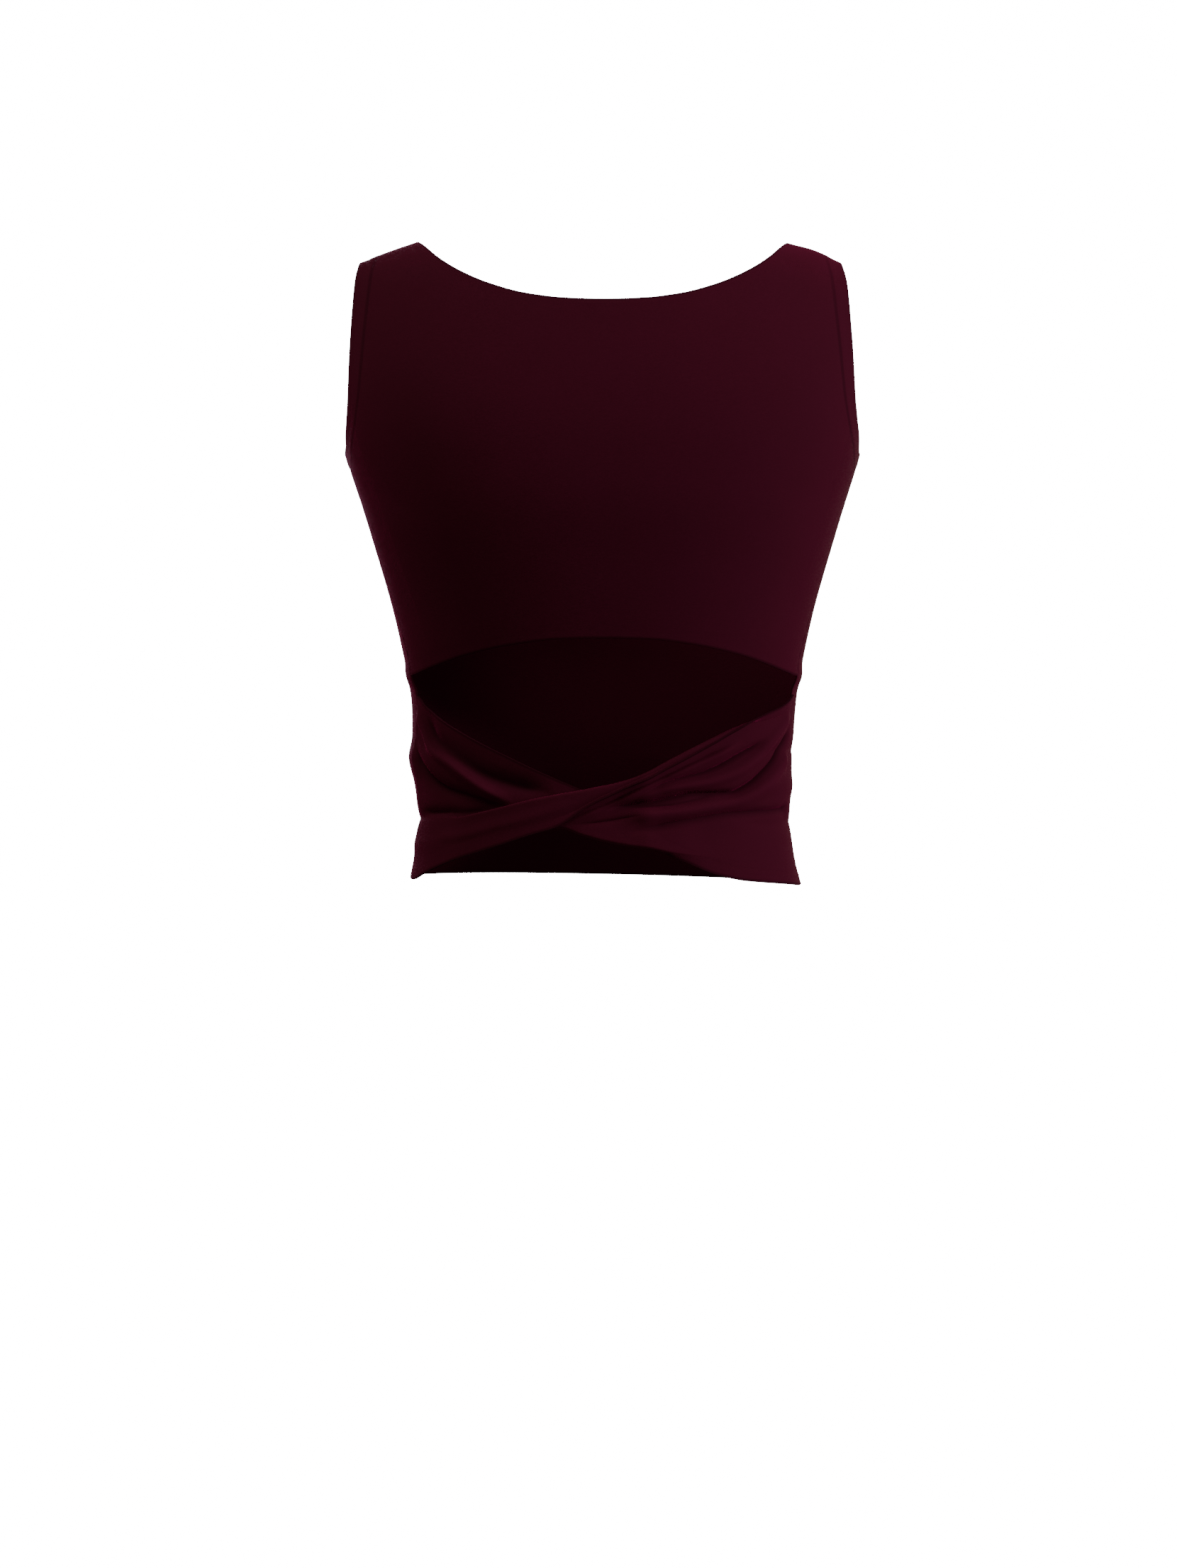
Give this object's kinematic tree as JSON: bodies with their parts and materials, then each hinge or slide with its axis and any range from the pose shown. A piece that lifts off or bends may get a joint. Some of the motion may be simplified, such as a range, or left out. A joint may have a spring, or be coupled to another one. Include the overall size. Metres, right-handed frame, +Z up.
{
  "type": "sleeveless open-back crop top",
  "caption": "Close-fitting sleeveless crop top in its worn form, with a scooped neck, an arched opening across the back and a half-twisted band below it",
  "frame": {"origin": "the middle of the two shoulder straps, at the height of their shoulder line", "axes": "+X is the side on the right when the back is seen, +Y is the front of the garment, +Z is up; the open back faces -Y"},
  "size_m": [0.3207, 0.2068, 0.3966],
  "materials": {
    "jersey": "matt burgundy jersey, two layers"
  },
  "bodies": {
    "root": {"front": "jersey", "back_upper": "jersey", "back_twist": "jersey"}
  },
  "joints": []
}
